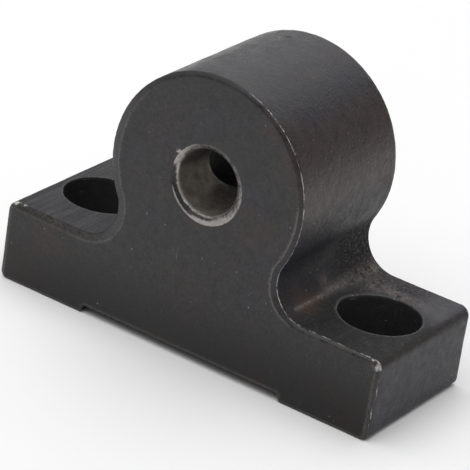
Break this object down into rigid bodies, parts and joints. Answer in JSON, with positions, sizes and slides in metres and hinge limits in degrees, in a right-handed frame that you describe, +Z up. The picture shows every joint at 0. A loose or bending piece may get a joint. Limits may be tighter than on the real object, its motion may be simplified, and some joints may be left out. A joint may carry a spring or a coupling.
{
  "type": "lead screw support bracket",
  "caption": "Cast iron foot-mounted support for the end of a lead screw, with a bored barrel, counterbored screw holes in the feet and a side hole into the bore.",
  "frame": {"origin": "midway between the two feet and between the front and back faces, at the level of the pads it stands on", "axes": "+X along the base between the screw holes, +Y from the front face to the back face along the bore, +Z up from the pads"},
  "size_m": [0.08, 0.0316, 0.054],
  "materials": {
    "blackened_casting": "black-oxidised casting, satin on the barrel, matte on the faces, bare metal on worn edges and the bore chamfer"
  },
  "bodies": {
    "root": {"support_bracket": "blackened_casting"}
  },
  "joints": []
}
